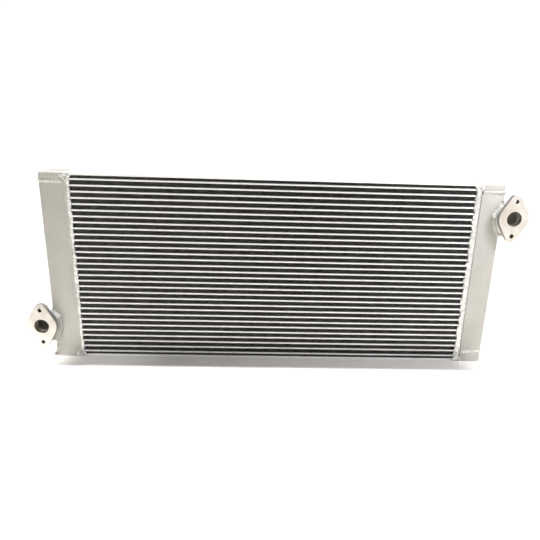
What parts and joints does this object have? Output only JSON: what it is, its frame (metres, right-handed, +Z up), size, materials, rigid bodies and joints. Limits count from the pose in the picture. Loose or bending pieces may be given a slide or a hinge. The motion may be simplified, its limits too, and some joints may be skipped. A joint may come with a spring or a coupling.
{
  "type": "hydraulic oil cooler",
  "caption": "Long aluminium bar-and-plate hydraulic oil cooler: a finned core between two welded header tanks, each with a forward-facing two-bolt oil port flange.",
  "frame": {"origin": "middle of the bottom face, on the underside of the bottom side plate", "axes": "+X along the cooler's length towards the tank with the high port, +Y to the rear, away from the port faces, +Z up"},
  "size_m": [1.1034, 0.1046, 0.4229],
  "materials": {
    "bar_aluminium": "bright brazed aluminium bars and plates",
    "fin_aluminium": "thin rolled fin strip, darkened by brazing",
    "tank_aluminium": "matt rolled aluminium",
    "flange_aluminium": "machined aluminium with fine tool marks",
    "weld_aluminium": "bright rippled weld bead"
  },
  "bodies": {
    "root": {"side_plate_bottom": "bar_aluminium", "side_plate_top": "bar_aluminium", "oil_tube_bank": "bar_aluminium", "header_bars_left": "bar_aluminium", "header_bars_right": "bar_aluminium", "air_fin_01": "fin_aluminium", "air_fin_02": "fin_aluminium", "air_fin_03": "fin_aluminium", "air_fin_04": "fin_aluminium", "air_fin_05": "fin_aluminium", "air_fin_06": "fin_aluminium", "air_fin_07": "fin_aluminium", "air_fin_08": "fin_aluminium", "air_fin_09": "fin_aluminium", "air_fin_10": "fin_aluminium", "air_fin_11": "fin_aluminium", "air_fin_12": "fin_aluminium", "air_fin_13": "fin_aluminium", "air_fin_14": "fin_aluminium", "air_fin_15": "fin_aluminium", "air_fin_16": "fin_aluminium", "air_fin_17": "fin_aluminium", "air_fin_18": "fin_aluminium", "air_fin_19": "fin_aluminium", "air_fin_20": "fin_aluminium", "air_fin_21": "fin_aluminium", "air_fin_22": "fin_aluminium", "air_fin_23": "fin_aluminium", "air_fin_24": "fin_aluminium", "air_fin_25": "fin_aluminium", "air_fin_26": "fin_aluminium", "air_fin_27": "fin_aluminium", "air_fin_28": "fin_aluminium", "air_fin_29": "fin_aluminium", "air_fin_30": "fin_aluminium", "air_fin_31": "fin_aluminium", "air_fin_32": "fin_aluminium", "header_tank_left": "tank_aluminium", "tank_cap_left_bottom": "tank_aluminium", "cap_weld_left_bottom": "weld_aluminium", "tank_cap_left_top": "tank_aluminium", "cap_weld_left_top": "weld_aluminium", "port_neck_left": "tank_aluminium", "port_flange_left": "flange_aluminium", "port_weld_left": "weld_aluminium", "header_tank_right": "tank_aluminium", "tank_cap_right_bottom": "tank_aluminium", "cap_weld_right_bottom": "weld_aluminium", "tank_cap_right_top": "tank_aluminium", "cap_weld_right_top": "weld_aluminium", "port_neck_right": "tank_aluminium", "port_flange_right": "flange_aluminium", "port_weld_right": "weld_aluminium"}
  },
  "joints": []
}
